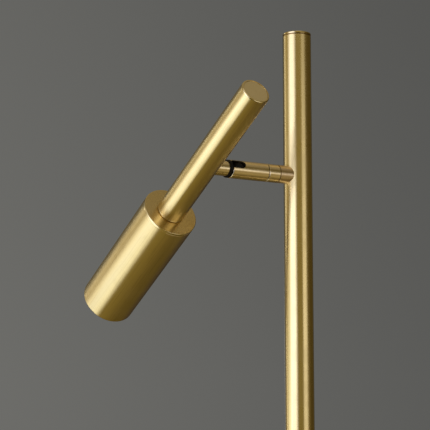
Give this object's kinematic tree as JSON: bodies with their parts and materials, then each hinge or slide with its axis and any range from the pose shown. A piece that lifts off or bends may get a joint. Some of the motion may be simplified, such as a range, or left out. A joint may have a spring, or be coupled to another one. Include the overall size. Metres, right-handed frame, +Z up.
{
  "type": "floor lamp",
  "caption": "Floor lamp: round weighted base, slim upright pole, and a cylindrical spot head on a short arm that swivels about the arm and tilts in a slotted ball joint.",
  "frame": {"origin": "centre of the base's underside, on the floor, on the pole's axis", "axes": "+Z up along the pole, -X along the arm towards the head, +Y the way the shade's mouth points at rest"},
  "size_m": [0.2512, 0.3069, 1.5],
  "materials": {
    "rubber_pad": "matt",
    "iron": "as cast",
    "satin_brass": "satin, fine drawn lines, lacquered",
    "turned_brass": "fine turned",
    "black_bush": "moulded",
    "steel": "zinc plated",
    "nylon": "moulded",
    "black_joint": "black oxide",
    "aluminium": "machined",
    "emitter": "phosphor gel",
    "reflector": "polished",
    "lens": "frosted",
    "black_bezel": "black anodised"
  },
  "bodies": {
    "stand": {"base_pad": "rubber_pad", "base_weight": "iron", "base_cover": "satin_brass", "cord_grommet": "black_bush", "base_stud": "steel", "base_washer": "steel", "base_nut": "steel", "pole_plug": "steel", "lower_pole": "satin_brass", "pole_joiner": "steel", "upper_pole": "satin_brass", "pole_cap": "satin_brass", "arm_anchor": "steel", "arm_stud": "steel", "arm_saddle": "turned_brass", "swivel_ring": "turned_brass"},
    "swivel": {"swivel_sleeve": "turned_brass", "swivel_screw": "steel", "spring_washer": "steel", "friction_cup": "nylon"},
    "head": {"swivel_ball": "black_joint", "joint_ring": "black_joint", "neck_collar": "turned_brass", "tube_anchor": "steel", "head_tube": "satin_brass", "tube_end_cap": "satin_brass", "tube_plug": "steel", "tube_foot": "satin_brass", "shade_stud": "steel", "shade_plate": "satin_brass", "shade": "satin_brass", "heat_sink": "aluminium", "led_board": "aluminium", "led_emitter": "emitter", "board_screws": "steel", "reflector": "reflector", "lens": "lens", "lens_bezel": "black_bezel"}
  },
  "joints": [
    {"name": "arm_swivel", "type": "hinge", "parent": "stand", "child": "swivel", "pos_m": [-0.045, 0, 1.3705], "axis": [-1, 0, 0], "range_deg": [-170, 170]},
    {"name": "head_tilt", "type": "hinge", "parent": "swivel", "child": "head", "pos_m": [-0.0643, 0, 1.3705], "axis": [0, 0.527, 0.8499], "range_deg": [0, 90]}
  ]
}
